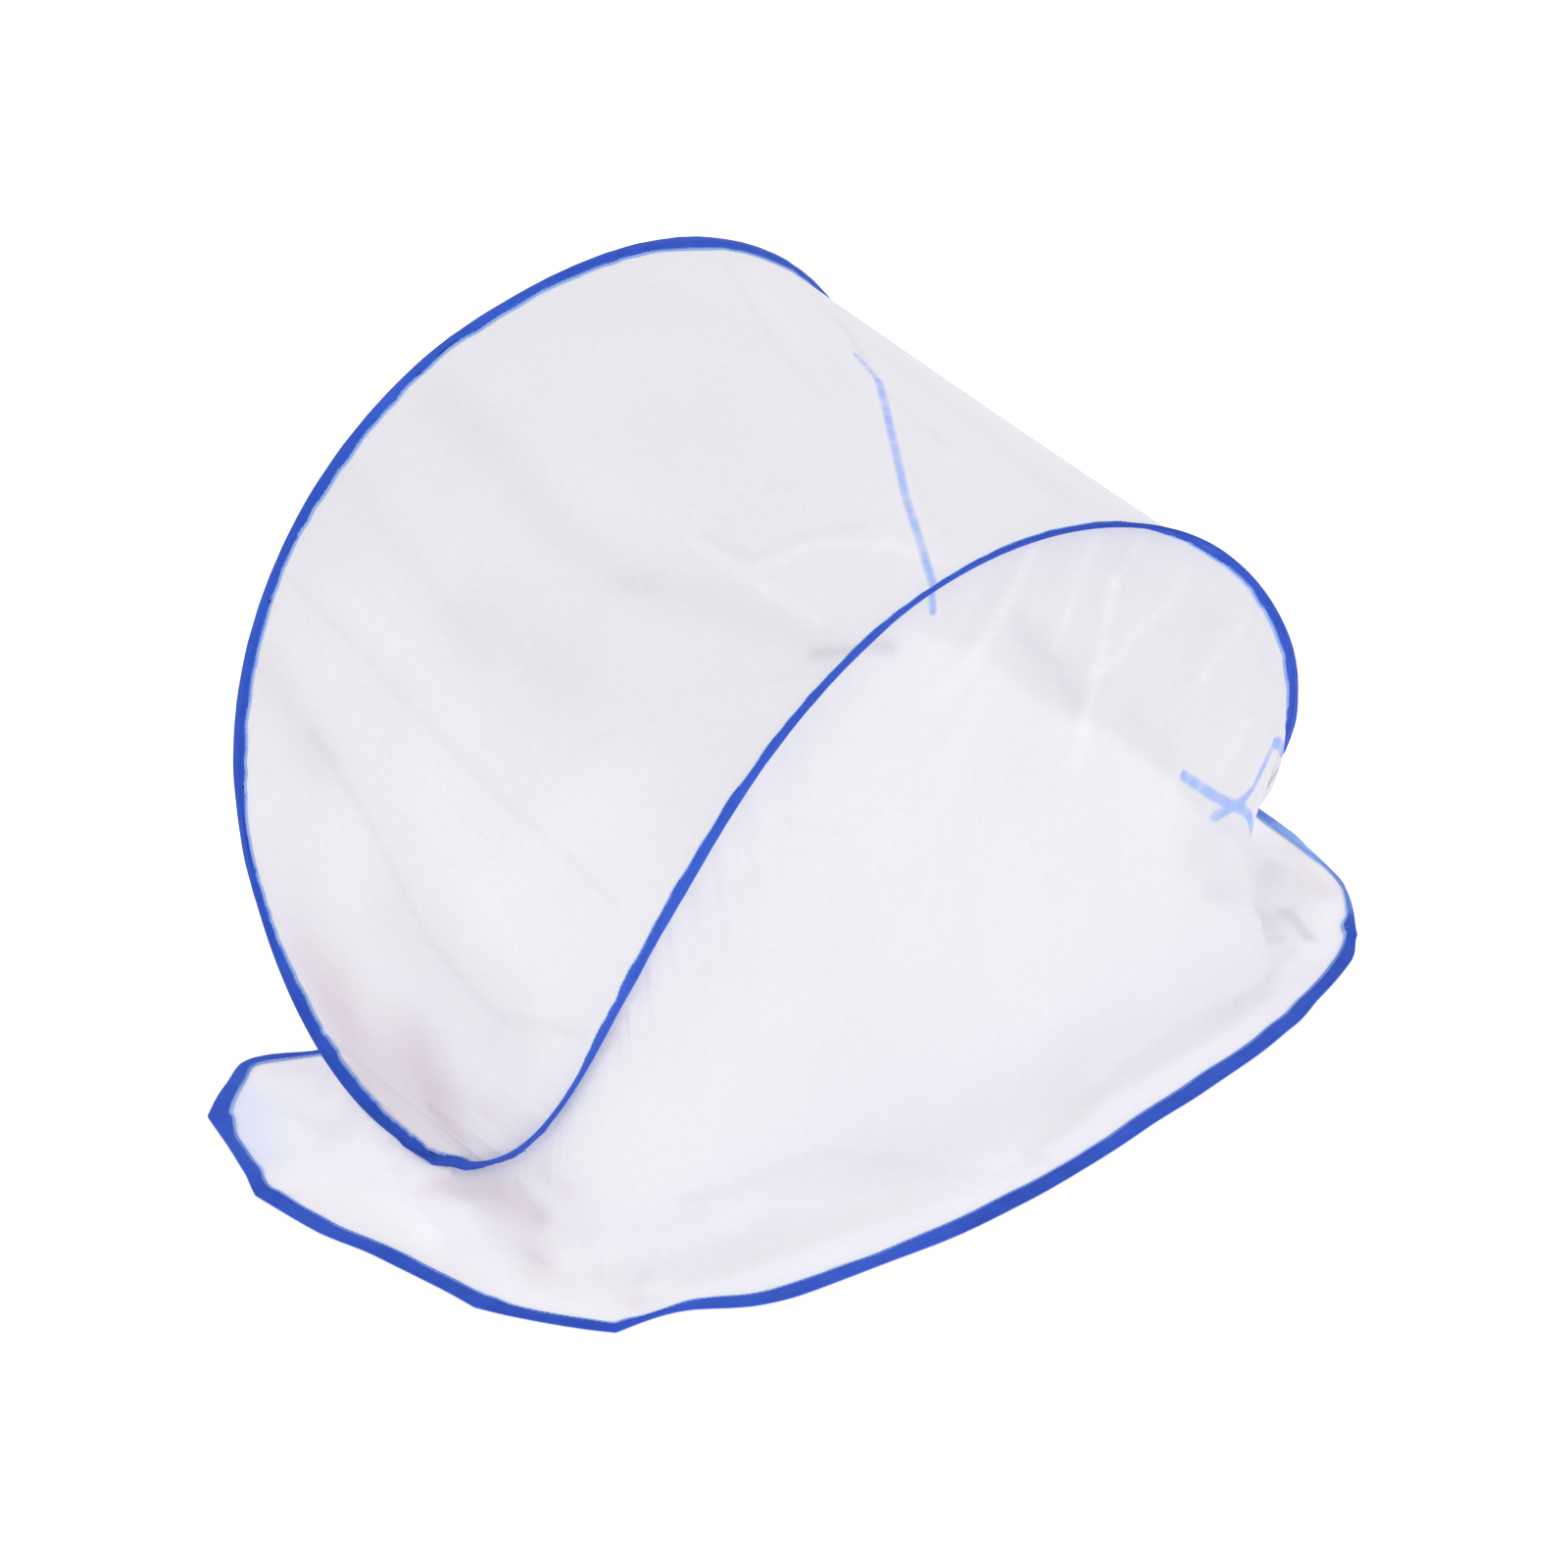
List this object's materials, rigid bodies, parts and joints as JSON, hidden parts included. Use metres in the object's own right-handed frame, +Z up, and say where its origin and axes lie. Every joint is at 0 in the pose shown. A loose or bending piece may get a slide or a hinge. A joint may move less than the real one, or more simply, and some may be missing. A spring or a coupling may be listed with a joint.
{
  "type": "pop-up mosquito net with spring-wire hoop",
  "caption": "Free-standing pop-up net dome for a sleeper's head: a saddle-shaped spring-wire hoop bound in tape, sheer roof and panels, and a skirt that lies on the ground.",
  "frame": {"origin": "middle of the whole net's box, on the surface it stands on", "axes": "+X along the net's length from the left foot to the right foot, +Y from the low front arch to the high back arch, +Z up"},
  "size_m": [0.743, 0.4328, 0.4225],
  "materials": {
    "net_cloth": "fine sheer white knitted net",
    "binding_tape": "blue woven binding tape with a line of stitching",
    "spring_wire": "plain drawn spring wire"
  },
  "bodies": {
    "root": {"wire_hoop": "spring_wire", "hoop_binding": "binding_tape", "roof_net": "net_cloth", "front_panel": "net_cloth", "back_panel": "net_cloth", "rim_binding": "binding_tape"}
  },
  "joints": []
}
